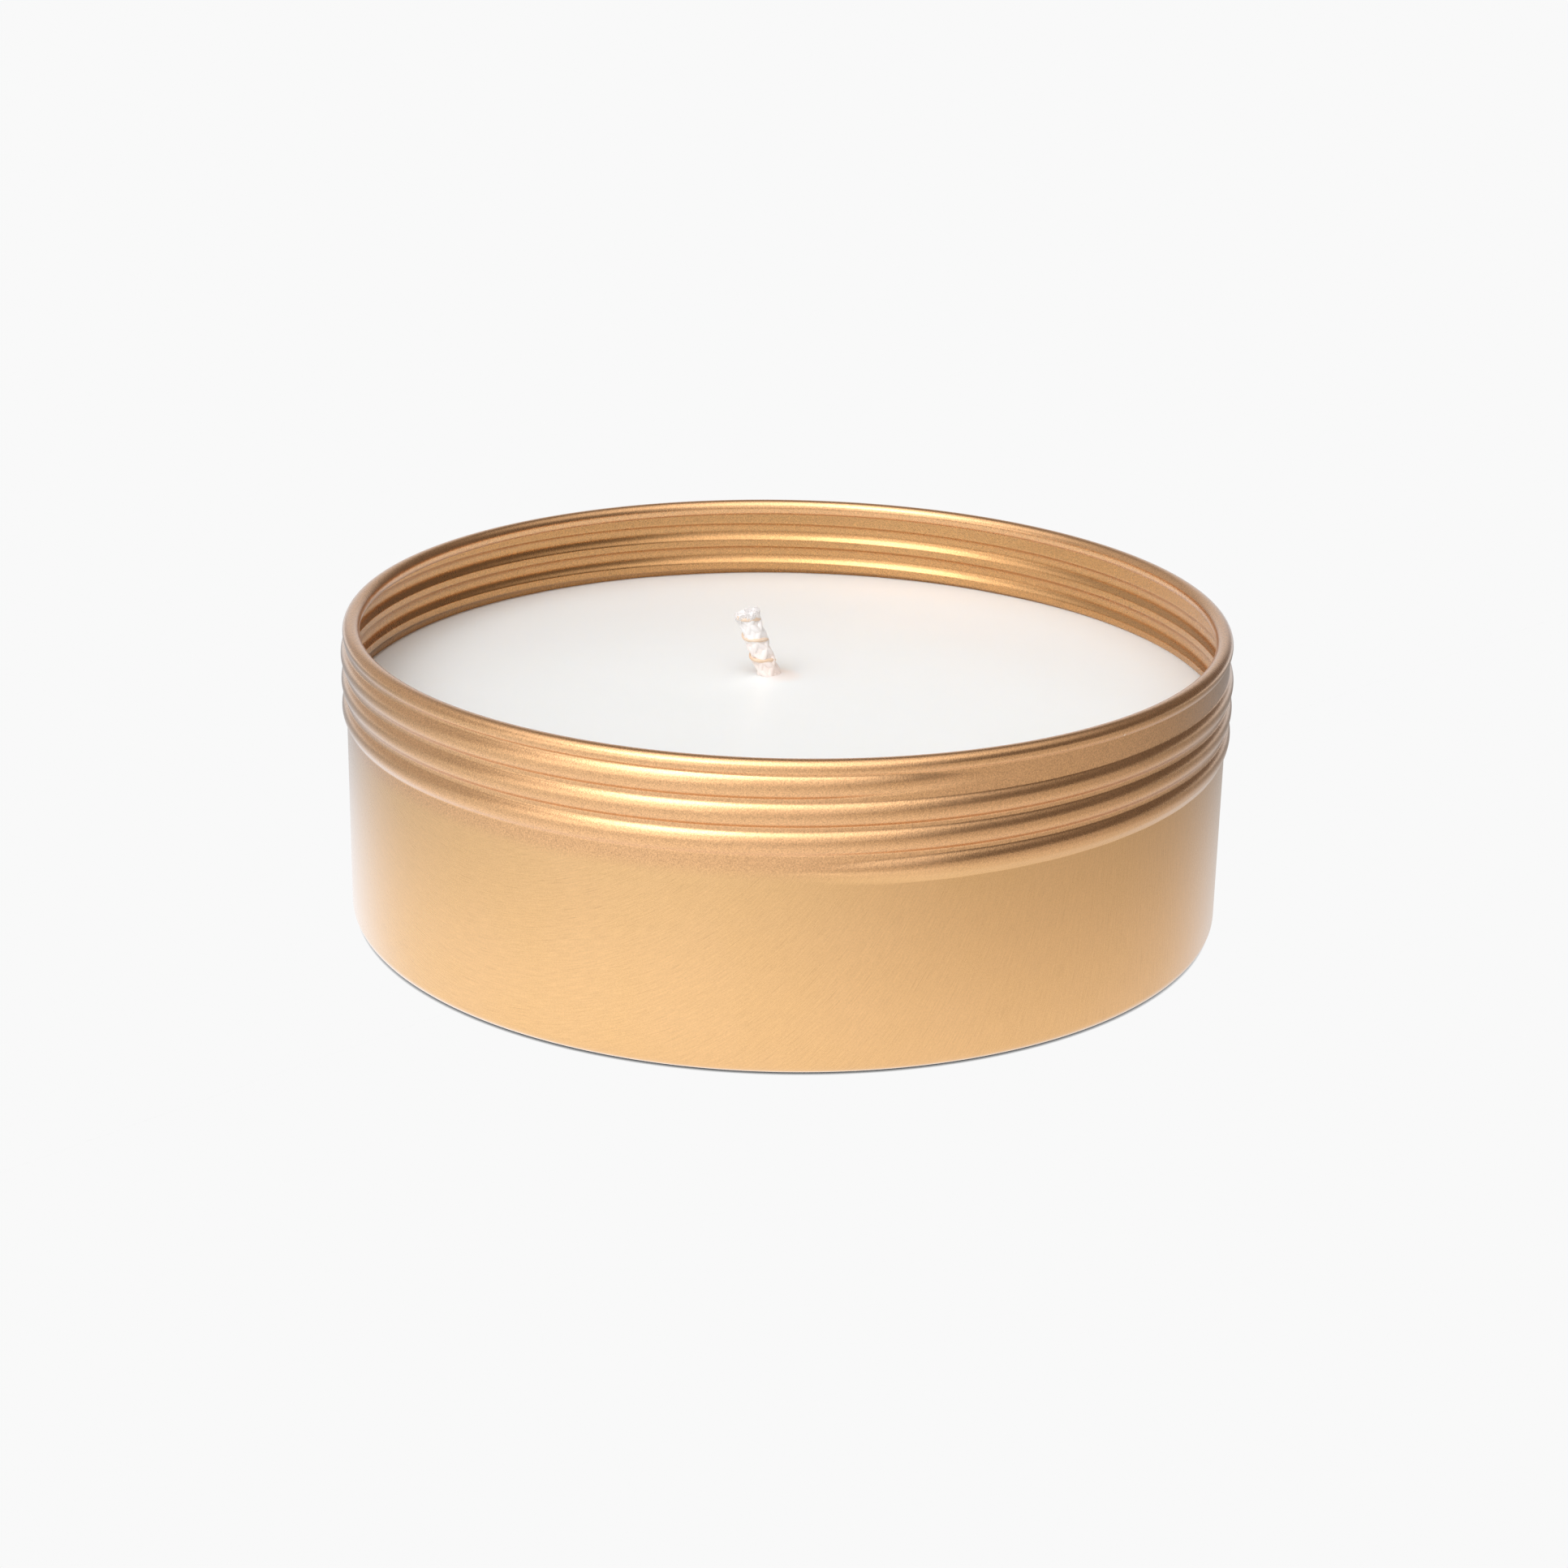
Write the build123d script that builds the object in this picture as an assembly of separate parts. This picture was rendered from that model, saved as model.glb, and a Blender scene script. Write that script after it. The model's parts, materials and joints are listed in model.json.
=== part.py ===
from build123d import *
from math import cos, pi, radians, sin, sqrt, tan
import os

os.makedirs("parts", exist_ok=True)

# A screw-top candle tin, open, without its lid. Millimetres, +Z up.
# The origin is the middle of the base, on the surface that the tin stands on.
# The wick stands behind the middle (+Y) and its free end leans to the left (-X).

# Tin body, drawn from one sheet
TIN_D = 99.0  # outside diameter of the plain wall
TIN_H = 34.0  # from the table to the top of the curled rim
SHEET_T = 0.35  # thickness of the sheet
BASE_CORNER_R = 1.3  # outside radius between the wall and the base
REST_RING_W = 5.0  # width of the flat ring that the tin stands on
PANEL_RISE = 0.5  # how far the middle of the base is pushed up

# Curled rim, a roll with a gap under it where the raw edge stops short of the wall
CURL_D = 1.9  # diameter of the roll
CURL_PROUD = 0.25  # how far the roll stands out past the wall
CURL_GAP_FROM_DEG = 245.0  # round the roll, from outwards and over the top
CURL_GAP_TO_DEG = 280.0
WALL_LAP = 0.455  # how far the wall reaches up past the bottom of the roll, to join it

# Right-hand thread, rolled in the wall
THREAD_PITCH = 3.0
RIDGE_W = 2.45  # height of one ridge along the wall
RIDGE_PROUD = 0.5  # how far a ridge stands out past the wall
THREAD_TOP_DROP = 2.46  # from the top of the rim down to the middle of the last ridge
THREAD_TURNS_DEG = 1127.0  # how far the ridge winds, with both fading ends
THREAD_START_DEG = -102.0  # where it begins, from +X
THREAD_FADE_DEG = 34.0  # each end grows out of the wall over this angle
FADE_LEAD_DEG = 2.0  # the cut that makes it fade starts this far before its end
RIDGE_ROOT = 0.15  # a ridge's solid reaches this far into the sheet, to join it

# Wax
WAX_DROP = 9.9  # from the top of the rim down to the surface of the wax

# Wick, a braided cotton cord with a paper filament wound round it
WICK_D = 2.8
WICK_X = -1.6  # where it stands on the base
WICK_Y = 7.0
WICK_LEAN_DEG = 20.0  # lean of the free end
WICK_BEND_R = 6.0  # radius of the bend, just under the surface of the wax
WICK_FREE_L = 8.4  # length of the straight free end
FILAMENT_D = 0.45
FILAMENT_PROUD = 0.1  # how far it stands out past the braid
FILAMENT_PITCH = 2.6
FILAMENT_START = 1.15  # from the bend to the first turn
FILAMENT_END = 0.3  # from the last turn to the tip

# Sustainer, a metal tab crimped on the wick, and the foam pad that sticks it down
SUSTAINER_D = 20.0
SUSTAINER_T = 0.3
NECK_H = 6.0  # height of the crimped neck, with the disc
NECK_T = 0.35
PAD_D = 18.0
PAD_T = 1.0

# Worked out from the sizes above
WALL_R = TIN_D / 2
INNER_R = WALL_R - SHEET_T
PANEL_R = WALL_R - BASE_CORNER_R - REST_RING_W - PANEL_RISE
FLOOR_Z = PANEL_RISE + SHEET_T
CURL_R = CURL_D / 2
CURL_CENTRE_R = WALL_R + CURL_PROUD - CURL_R
CURL_CENTRE_Z = TIN_H - CURL_R
WALL_TOP_Z = CURL_CENTRE_Z - CURL_R + WALL_LAP
THREAD_RISE = THREAD_PITCH * THREAD_TURNS_DEG / 360
THREAD_START_Z = TIN_H - THREAD_TOP_DROP - THREAD_RISE
RIDGE_ARC_R = RIDGE_PROUD / 2 + RIDGE_W**2 / (8 * RIDGE_PROUD)
RIDGE_ARC_CENTRE_R = WALL_R + RIDGE_PROUD - RIDGE_ARC_R
WAX_Z = TIN_H - WAX_DROP
PAD_TOP_Z = FLOOR_Z + PAD_T
WICK_R = WICK_D / 2
LEAN = radians(WICK_LEAN_DEG)
BEND_Z = WAX_Z - WICK_BEND_R * sin(LEAN)
FREE_X = WICK_X - WICK_BEND_R * (1 - cos(LEAN))


def section(*points):
    """A closed face in the XZ plane through (radius, height) points."""
    return make_face(Polyline(*[(r, 0, z) for r, z in points], close=True))


def turned(face):
    """A section in the XZ plane, turned once round the Z axis."""
    return revolve(face, axis=Axis.Z, revolution_arc=360)


def disc(x, y, z, diameter, height):
    """An upright round disc that stands on (x, y, z)."""
    return Pos(x, y, z) * Cylinder(diameter / 2, height, align=(Align.CENTER, Align.CENTER, Align.MIN))


def cup_section(wall_r, rest_z, panel_r, panel_z, top_z, corner_r):
    """Half section of a round cup with a raised panel in the middle of its base."""
    face = section(
        (0, panel_z),
        (panel_r, panel_z),
        (panel_r + panel_z - rest_z, rest_z),
        (wall_r, rest_z),
        (wall_r, top_z),
        (0, top_z),
    )
    corner = face.vertices().sort_by_distance((wall_r, 0, rest_z))[0]
    return fillet(corner, corner_r)


def inside_section(top_z):
    """Half section of the space inside the sheet, filled up to a height."""
    panel_r = PANEL_R + SHEET_T * tan(pi / 8)
    return cup_section(INNER_R, SHEET_T, panel_r, FLOOR_Z, top_z, BASE_CORNER_R - SHEET_T)


def curl_section():
    """Section of the curled rim, a ring with a gap under it."""
    middle = Plane(origin=(CURL_CENTRE_R, 0, CURL_CENTRE_Z), x_dir=(1, 0, 0), z_dir=(0, -1, 0))
    ring = middle * (Circle(CURL_R) - Circle(CURL_R - SHEET_T))
    sides = [
        (CURL_CENTRE_R + CURL_D * cos(radians(angle)), CURL_CENTRE_Z + CURL_D * sin(radians(angle)))
        for angle in (CURL_GAP_FROM_DEG, CURL_GAP_TO_DEG)
    ]
    return ring - section((CURL_CENTRE_R, CURL_CENTRE_Z), *sides)


def ridge_section(face_r, arc_r):
    """Section of the thread where it begins: an arc that stands on one face of the sheet."""
    half_w = sqrt(arc_r**2 - (face_r - RIDGE_ARC_CENTRE_R) ** 2)
    low = THREAD_START_Z - half_w
    high = THREAD_START_Z + half_w
    root_r = face_r - RIDGE_ROOT
    back = Polyline((face_r, 0, low), (root_r, 0, low), (root_r, 0, high), (face_r, 0, high))
    crest = (RIDGE_ARC_CENTRE_R + arc_r, 0, THREAD_START_Z)
    return make_face(back + ThreePointArc((face_r, 0, high), crest, (face_r, 0, low)))


def fade_cut(face_r, end_deg, end_z, way):
    """What an off-centre turning cut takes off one end of the thread, so that it fades away."""
    half_fade = THREAD_FADE_DEG / 2
    middle_deg = end_deg + way * half_fade
    reach = 1.2 * WALL_R
    corners = [
        (reach * cos(radians(angle)), reach * sin(radians(angle)))
        for angle in (end_deg - way * FADE_LEAD_DEG, middle_deg, end_deg + way * THREAD_FADE_DEG)
    ]
    wedge = make_face(Polyline((0, 0), *corners, close=True))
    height = THREAD_PITCH * (1 + half_fade / 360)
    low_z = end_z - THREAD_PITCH / 2
    if way < 0:
        low_z = end_z + THREAD_PITCH / 2 - height
    block = extrude(Pos(0, 0, low_z) * wedge, amount=height, dir=(0, 0, 1))
    shift = RIDGE_PROUD / 2 / sin(radians(half_fade))
    shift_angle = radians(middle_deg + way * 90)
    kept_d = 2 * face_r + RIDGE_PROUD
    return block - disc(shift * cos(shift_angle), shift * sin(shift_angle), low_z, kept_d, height)


def thread(face_r, arc_r):
    """The whole thread as a solid that stands on one face of the sheet."""
    foot = (0, 0, THREAD_START_Z)
    path = Helix(pitch=THREAD_PITCH, height=THREAD_RISE, radius=face_r, center=foot)
    ridge = sweep(ridge_section(face_r, arc_r), path=path, is_frenet=True)
    start_cut = fade_cut(face_r, 0, THREAD_START_Z, 1)
    end_cut = fade_cut(face_r, THREAD_TURNS_DEG, THREAD_START_Z + THREAD_RISE, -1)
    return Rot(0, 0, THREAD_START_DEG) * (ridge - start_cut - end_cut)


def tin_body():
    """The drawn tin: base, wall, rolled thread and curled rim in one sheet."""
    outside = cup_section(WALL_R, 0, PANEL_R, PANEL_RISE, WALL_TOP_Z, BASE_CORNER_R)
    sheet = turned(outside - inside_section(TIN_H))
    ridge = thread(WALL_R, RIDGE_ARC_R)
    groove = thread(INNER_R, RIDGE_ARC_R - SHEET_T)
    return sheet + ridge - groove + turned(curl_section())


def wick_path():
    """Middle line of the wick: upright in the wax, a bend, and the leaning free end."""
    foot = (WICK_X, WICK_Y, PAD_TOP_Z)
    bend = (WICK_X, WICK_Y, BEND_Z)
    free = (FREE_X, WICK_Y, WAX_Z)
    tip = (FREE_X - WICK_FREE_L * sin(LEAN), WICK_Y, WAX_Z + WICK_FREE_L * cos(LEAN))
    return Line(foot, bend) + TangentArc(bend, free, tangent=(0, 0, 1)) + Line(free, tip)


def wick_filament():
    """Paper filament wound round the free end of the wick."""
    lean = Plane(origin=(FREE_X, WICK_Y, WAX_Z), x_dir=(0, 1, 0), z_dir=(-sin(LEAN), 0, cos(LEAN)))
    radius = WICK_R + FILAMENT_PROUD - FILAMENT_D / 2
    length = WICK_FREE_L - FILAMENT_START - FILAMENT_END
    foot = (0, 0, FILAMENT_START)
    path = Helix(pitch=FILAMENT_PITCH, height=length, radius=radius, center=foot, lefthand=True)
    start = Plane(origin=path @ 0, z_dir=path % 0)
    return lean * sweep(start * Circle(FILAMENT_D / 2), path=path, is_frenet=True)


def wick_braid(filament):
    """Braided cotton cord, with a groove where the filament lies."""
    start = Plane(origin=(WICK_X, WICK_Y, PAD_TOP_Z), z_dir=(0, 0, 1))
    return sweep(start * Circle(WICK_R), path=wick_path()) - filament


def wick_sustainer():
    """Metal tab: a disc with a neck that is crimped on the wick."""
    plate = disc(WICK_X, WICK_Y, PAD_TOP_Z, SUSTAINER_D, SUSTAINER_T)
    neck = disc(WICK_X, WICK_Y, PAD_TOP_Z, WICK_D + 2 * NECK_T, NECK_H)
    return plate + neck - disc(WICK_X, WICK_Y, PAD_TOP_Z, WICK_D, NECK_H)


def sustainer_pad():
    """Double-sided foam pad between the sustainer and the base."""
    return disc(WICK_X, WICK_Y, FLOOR_Z, PAD_D, PAD_T)


def wax_fill(buried):
    """Wax poured up to its level, round the pieces that it buries."""
    wax = turned(inside_section(WAX_Z))
    for piece in buried:
        wax = wax - piece
    return wax


def main():
    """Build every piece and write one file for each."""
    filament = wick_filament()
    braid = wick_braid(filament)
    sustainer = wick_sustainer()
    pad = sustainer_pad()
    pieces = {
        "tin_body": tin_body(),
        "wax_fill": wax_fill([braid, sustainer, pad]),
        "wick_braid": braid,
        "wick_filament": filament,
        "wick_sustainer": sustainer,
        "sustainer_pad": pad,
    }
    for name, piece in pieces.items():
        print(name, round(piece.volume, 2), "mm3", len(piece.solids()), "solid")
        export_step(piece, f"parts/{name}.step")


if __name__ == "__main__":
    main()
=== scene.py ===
"""An open screw-top candle tin: a gold drawn tin, ivory wax and a short braided wick."""

import json
import logging
from dataclasses import dataclass, field
from enum import Enum
from math import asin, cos, degrees, pi, radians, sin, tan
from typing import Sequence

import bpy
from mathutils import Matrix, Vector


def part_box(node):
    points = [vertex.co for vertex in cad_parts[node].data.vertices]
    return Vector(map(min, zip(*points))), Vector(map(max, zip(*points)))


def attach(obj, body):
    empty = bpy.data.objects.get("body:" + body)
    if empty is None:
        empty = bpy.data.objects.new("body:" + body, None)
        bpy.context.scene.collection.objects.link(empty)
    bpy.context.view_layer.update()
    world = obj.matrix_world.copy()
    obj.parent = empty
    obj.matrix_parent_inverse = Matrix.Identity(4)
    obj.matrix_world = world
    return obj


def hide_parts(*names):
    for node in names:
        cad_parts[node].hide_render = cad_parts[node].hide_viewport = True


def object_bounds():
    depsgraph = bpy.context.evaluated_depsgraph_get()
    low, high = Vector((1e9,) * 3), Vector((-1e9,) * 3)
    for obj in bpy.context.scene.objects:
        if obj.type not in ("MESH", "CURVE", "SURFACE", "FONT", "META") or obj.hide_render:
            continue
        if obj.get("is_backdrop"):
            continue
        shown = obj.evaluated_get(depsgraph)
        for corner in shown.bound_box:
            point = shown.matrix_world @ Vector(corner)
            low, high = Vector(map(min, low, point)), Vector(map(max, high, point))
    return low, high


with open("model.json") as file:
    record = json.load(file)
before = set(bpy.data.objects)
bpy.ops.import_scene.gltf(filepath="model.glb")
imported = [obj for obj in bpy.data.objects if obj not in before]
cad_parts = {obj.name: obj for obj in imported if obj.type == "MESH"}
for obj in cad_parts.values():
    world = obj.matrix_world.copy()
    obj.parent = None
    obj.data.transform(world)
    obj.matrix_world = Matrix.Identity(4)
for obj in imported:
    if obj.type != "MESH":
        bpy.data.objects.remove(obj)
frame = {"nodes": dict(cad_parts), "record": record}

log = logging.getLogger("candle_tin")

MM = 0.001  # metres in a millimetre
TURN = 2 * pi
ROOT_BODY = "root"
ARC_ATTRIBUTE = "thread_arc"  # radius of the thread's ridge on that face of the sheet
ALONG_ATTRIBUTE = "along"  # how far along a strand a point is, in metres
AROUND_ATTRIBUTE = "around"  # how far round it, from 0 to 1
FIBRE_UV = "fibre_place"
SAME_POINT = 0.002 * MM  # points nearer than this are one
FLOOR_GAP = 0.02 * MM  # keeps the floor clear of the base
WICK_SHADOW_ASIDE = 1.2 * MM  # the wax is stained more to the right of the wick
DRY_RISE = 6.0 * MM  # the painted shadow of the wick on the wax lies this far to its right
WHITE = (1.0, 1.0, 1.0)

Color = tuple[float, float, float, float]
Profile = list[tuple[float, float, float]]


class Slot(Enum):
    """The record's material slots that the new pieces take."""

    TIN = "gold_tin"
    WAX = "wax"
    COTTON = "wick_cotton"
    PAPER = "wick_paper"


class Node(Enum):
    """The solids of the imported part."""

    TIN = "tin_body"
    WAX = "wax_fill"
    BRAID = "wick_braid"
    FILAMENT = "wick_filament"
    SUSTAINER = "wick_sustainer"
    PAD = "sustainer_pad"


# ---------------------------------------------------------------- node trees


@dataclass(frozen=True)
class Scalar:
    """A number inside a node tree, which the usual operators extend with Math nodes."""

    graph: "Graph"
    socket: bpy.types.NodeSocket

    def __add__(self, other: "Scalar | float") -> "Scalar":
        """The sum of both."""
        return self.graph.math("ADD", self, other)

    def __sub__(self, other: "Scalar | float") -> "Scalar":
        """This number less the other."""
        return self.graph.math("SUBTRACT", self, other)

    def __rsub__(self, other: float) -> "Scalar":
        """The other number less this one."""
        return self.graph.math("SUBTRACT", other, self)

    def __mul__(self, other: "Scalar | float") -> "Scalar":
        """The product of both."""
        return self.graph.math("MULTIPLY", self, other)

    def __truediv__(self, other: "Scalar | float") -> "Scalar":
        """This number over the other."""
        return self.graph.math("DIVIDE", self, other)

    def __rtruediv__(self, other: float) -> "Scalar":
        """The other number over this one."""
        return self.graph.math("DIVIDE", other, self)

    def __neg__(self) -> "Scalar":
        """This number with its sign turned."""
        return self.graph.math("MULTIPLY", self, -1.0)

    __radd__ = __add__
    __rmul__ = __mul__

    def function(self, operation: str) -> "Scalar":
        """This number through a Math node of one input, such as SINE or ROUND."""
        return self.graph.math(operation, self)


class Graph:
    """Adds nodes to a shader, world or geometry node tree."""

    def __init__(self, tree: bpy.types.NodeTree) -> None:
        """Keeps the tree that the nodes go in."""
        self.tree = tree

    def feed(self, socket: bpy.types.NodeSocket, value: object) -> None:
        """Gives a socket its value, as a link or as a number.

        Args:
            socket: the input to fill.
            value: a Scalar, a socket to link from, or a plain value.
        """
        if isinstance(value, Scalar):
            value = value.socket
        if isinstance(value, bpy.types.NodeSocket):
            self.tree.links.new(value, socket)
        else:
            socket.default_value = value

    def node(self, kind: str, inputs: dict | None = None, **settings: object) -> bpy.types.Node:
        """Adds one node.

        Args:
            kind: the node's type name.
            inputs: values or links by input name or number.
            **settings: the node's own properties.

        Returns:
            The new node.
        """
        made = self.tree.nodes.new(kind)
        for name, value in settings.items():
            setattr(made, name, value)
        for name, value in (inputs or {}).items():
            self.feed(made.inputs[name], value)
        return made

    def out(self, kind: str, inputs: dict | None = None, **settings: object) -> bpy.types.NodeSocket:
        """Adds one node, as node() does, and returns its first output."""
        return self.node(kind, inputs, **settings).outputs[0]

    def math(self, operation: str, *values: "Scalar | float") -> Scalar:
        """Adds a Math node.

        Args:
            operation: the node's operation.
            *values: one to three numbers.

        Returns:
            The node's result.
        """
        return Scalar(self, self.out("ShaderNodeMath", dict(enumerate(values)), operation=operation))

    def vector_math(self, operation: str, *values: object) -> bpy.types.NodeSocket:
        """Adds a Vector Math node.

        Args:
            operation: the node's operation.
            *values: its inputs in order.

        Returns:
            The vector, or the number for an operation that gives one.
        """
        made = self.node("ShaderNodeVectorMath", dict(enumerate(values)), operation=operation)
        return made.outputs["Value" if operation in ("DOT_PRODUCT", "LENGTH") else "Vector"]

    def scaled(self, vector: object, factor: "Scalar | float") -> bpy.types.NodeSocket:
        """A vector times a number."""
        return self.out("ShaderNodeVectorMath", {0: vector, "Scale": factor}, operation="SCALE")

    def distance(self, place: object, middle: tuple[float, float, float]) -> Scalar:
        """How far a place is from a fixed point."""
        return Scalar(self, self.vector_math("LENGTH", self.vector_math("SUBTRACT", place, middle)))

    def ramp(self, value: "Scalar | float", low: "Scalar | float", high: "Scalar | float") -> Scalar:
        """A smooth step from 0 at low to 1 at high.

        Args:
            value: the number to read.
            low: where the step begins.
            high: where the step ends.

        Returns:
            A number from 0 to 1.
        """
        made = self.node(
            "ShaderNodeMapRange",
            {"Value": value, "From Min": low, "From Max": high},
            interpolation_type="SMOOTHSTEP",
        )
        return Scalar(self, made.outputs["Result"])

    def mix(
        self, factor: "Scalar | float", first: object, second: object, blend: str = "MIX"
    ) -> bpy.types.NodeSocket:
        """Mixes two colours.

        Args:
            factor: how much of the second shows.
            first: the colour at 0.
            second: the colour at 1.
            blend: the Mix node's blend type.

        Returns:
            The mixed colour.
        """
        inputs = {0: factor, 6: first, 7: second}
        made = self.node("ShaderNodeMix", inputs, data_type="RGBA", blend_type=blend)
        return made.outputs[2]

    def tinted(self, color: object, tint: object) -> bpy.types.NodeSocket:
        """A colour multiplied by another."""
        return self.mix(1.0, color, tint, "MULTIPLY")

    def split(self, vector: bpy.types.NodeSocket) -> tuple[Scalar, Scalar, Scalar]:
        """The three parts of a vector."""
        made = self.node("ShaderNodeSeparateXYZ", {0: vector})
        return tuple(Scalar(self, part) for part in made.outputs)

    def join(self, x: object, y: object, z: object) -> bpy.types.NodeSocket:
        """A vector from three numbers."""
        return self.out("ShaderNodeCombineXYZ", {0: x, 1: y, 2: z})

    def noise(self, vector: object, scale: float, detail: float = 2.0, roughness: float = 0.5) -> Scalar:
        """Adds a noise texture.

        Args:
            vector: where it is read.
            scale: its scale.
            detail: its number of octaves.
            roughness: how much the fine octaves count.

        Returns:
            Its value, about 0.5 on average.
        """
        inputs = {"Vector": vector, "Scale": scale, "Detail": detail, "Roughness": roughness}
        return Scalar(self, self.out("ShaderNodeTexNoise", inputs))

    def index(self) -> Scalar:
        """The number of a point."""
        return Scalar(self, self.out("GeometryNodeInputIndex"))

    def named(self, name: str) -> Scalar:
        """A number that is stored on the geometry."""
        return Scalar(self, self.out("GeometryNodeInputNamedAttribute", {"Name": name}, data_type="FLOAT"))

    def store(
        self, geometry: object, name: str, value: object, kind: str = "FLOAT", domain: str = "POINT"
    ) -> bpy.types.NodeSocket:
        """Stores a value on a geometry.

        Args:
            geometry: what gets it.
            name: the attribute's name.
            value: the field to store.
            kind: its data type.
            domain: where it is stored.

        Returns:
            The geometry that has it.
        """
        inputs = {"Geometry": geometry, "Name": name, "Value": value}
        return self.out("GeometryNodeStoreNamedAttribute", inputs, data_type=kind, domain=domain)

    def sampled(
        self, geometry: object, value: object, index: Scalar, kind: str = "FLOAT"
    ) -> bpy.types.NodeSocket:
        """Reads a field at one point of another geometry.

        Args:
            geometry: the geometry to read from.
            value: the field.
            index: which point.
            kind: the field's data type.

        Returns:
            The value there.
        """
        inputs = {"Geometry": geometry, "Value": value, "Index": index}
        return self.out("GeometryNodeSampleIndex", inputs, data_type=kind, domain="POINT")


def add_socket(tree: bpy.types.NodeTree, name: str, kind: str, way: str, value: object = None) -> str:
    """Adds a named socket to a node group's interface.

    Args:
        tree: the group.
        name: the socket's name.
        kind: its type, such as NodeSocketFloat.
        way: INPUT or OUTPUT.
        value: its default, if it has one.

    Returns:
        The socket's identifier.
    """
    made = tree.interface.new_socket(name=name, in_out=way, socket_type=kind)
    if value is not None:
        made.default_value = value
    return made.identifier


class ShapeTree:
    """A Geometry Nodes tree with named inputs, and the making of a plain mesh from it."""

    def __init__(self, name: str) -> None:
        """Starts an empty tree that takes and gives a geometry.

        Args:
            name: the tree's name.
        """
        self.tree = bpy.data.node_groups.new(name, "GeometryNodeTree")
        self.values: dict[str, object] = {}
        self.material: bpy.types.Material | None = None
        add_socket(self.tree, "Geometry", "NodeSocketGeometry", "INPUT")
        add_socket(self.tree, "Geometry", "NodeSocketGeometry", "OUTPUT")
        self.graph = Graph(self.tree)
        self.source = self.graph.node("NodeGroupInput")

    def size(self, name: str, value: float, kind: str = "NodeSocketFloat") -> Scalar:
        """A named number as it is read in the tree, which gets it as an input once.

        Args:
            name: the input's name.
            value: its value.
            kind: its socket type.

        Returns:
            The number.
        """
        if name not in self.source.outputs:
            self.values[add_socket(self.tree, name, kind, "INPUT")] = value
        return Scalar(self.graph, self.source.outputs[name])

    def count(self, name: str, value: int) -> Scalar:
        """A named whole number as it is read in the tree."""
        return self.size(name, value, "NodeSocketInt")

    def close(self, geometry: bpy.types.NodeSocket, material: bpy.types.Material) -> None:
        """Ends the tree: instances become real, and the material is set.

        Args:
            geometry: what the tree has made.
            material: its finish.
        """
        self.material = material
        self.values[add_socket(self.tree, "Finish", "NodeSocketMaterial", "INPUT")] = material
        graph = self.graph
        real = graph.out("GeometryNodeRealizeInstances", {0: geometry})
        smooth = graph.out("GeometryNodeSetShadeSmooth", {0: real})
        dressed = graph.out("GeometryNodeSetMaterial", {0: smooth, "Material": self.source.outputs["Finish"]})
        graph.node("NodeGroupOutput", {0: dressed})

    def bake(self, name: str, start: bpy.types.Mesh) -> bpy.types.Object:
        """Runs the tree and keeps the result as a plain mesh.

        Args:
            name: the piece's name.
            start: the mesh that the tree reads.

        Returns:
            The finished object, with no modifier.
        """
        piece = bpy.data.objects.new(name, start)
        bpy.context.scene.collection.objects.link(piece)
        modifier = piece.modifiers.new("shape", "NODES")
        modifier.node_group = self.tree
        for identifier, value in self.values.items():
            modifier[identifier] = value
        depsgraph = bpy.context.evaluated_depsgraph_get()
        mesh = bpy.data.meshes.new_from_object(piece.evaluated_get(depsgraph), depsgraph=depsgraph)
        piece.modifiers.remove(modifier)
        piece.data = mesh
        mesh.name = name
        mesh.materials.clear()  # leaves one slot, without the start mesh's empty one
        mesh.materials.append(self.material)
        return piece


# ---------------------------------------------------------------- shared shader effects


class Effect:
    """A shader node group with named inputs and outputs, built once and placed where it is wanted."""

    def __init__(self, name: str, sizes: dict[str, float], outputs: Sequence[str]) -> None:
        """Starts a group that reads a vector and named numbers.

        Args:
            name: the group's name.
            sizes: its number inputs and their defaults.
            outputs: the names of its number outputs.
        """
        self.tree = bpy.data.node_groups.new(name, "ShaderNodeTree")
        add_socket(self.tree, "Vector", "NodeSocketVector", "INPUT")
        for size, value in sizes.items():
            add_socket(self.tree, size, "NodeSocketFloat", "INPUT", value)
        for output in outputs:
            add_socket(self.tree, output, "NodeSocketFloat", "OUTPUT")
        self.graph = Graph(self.tree)
        self.source = self.graph.node("NodeGroupInput")
        self.result = self.graph.node("NodeGroupOutput")

    def read(self, name: str) -> Scalar:
        """One of the group's inputs, as it is read inside."""
        return Scalar(self.graph, self.source.outputs[name])

    def give(self, name: str, value: Scalar) -> None:
        """Sends a number to one of the group's outputs."""
        self.graph.feed(self.result.inputs[name], value)

    def place(self, graph: Graph, vector: object, **sizes: float) -> dict[str, Scalar]:
        """Puts the group in a material.

        Args:
            graph: the material's graph.
            vector: where the effect is read.
            **sizes: its numbers, with _ for a space in a name.

        Returns:
            Its outputs by name.
        """
        made = graph.node("ShaderNodeGroup", node_tree=self.tree)
        graph.feed(made.inputs["Vector"], vector)
        for name, value in sizes.items():
            graph.feed(made.inputs[name.replace("_", " ").title()], value)
        return {output.name: Scalar(graph, output) for output in made.outputs}


def grain_effect() -> Effect:
    """A fine, even grain as on lacquer, wax or foam, with a wide soft mottle.

    Returns:
        The group, with Height about 0 and Mottle about 0.5.
    """
    effect = Effect("fine_grain", {"Grain Size": 0.2 * MM, "Mottle Size": 8 * MM}, ("Height", "Mottle"))
    graph = effect.graph
    place = effect.source.outputs["Vector"]
    fine = graph.scaled(place, 1.0 / effect.read("Grain Size"))
    wide = graph.scaled(place, 1.0 / effect.read("Mottle Size"))
    effect.give("Height", graph.noise(fine, 1.0, 2.0, 0.6) - 0.5)
    effect.give("Mottle", graph.noise(wide, 1.0, 3.0, 0.55))
    return effect


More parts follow.
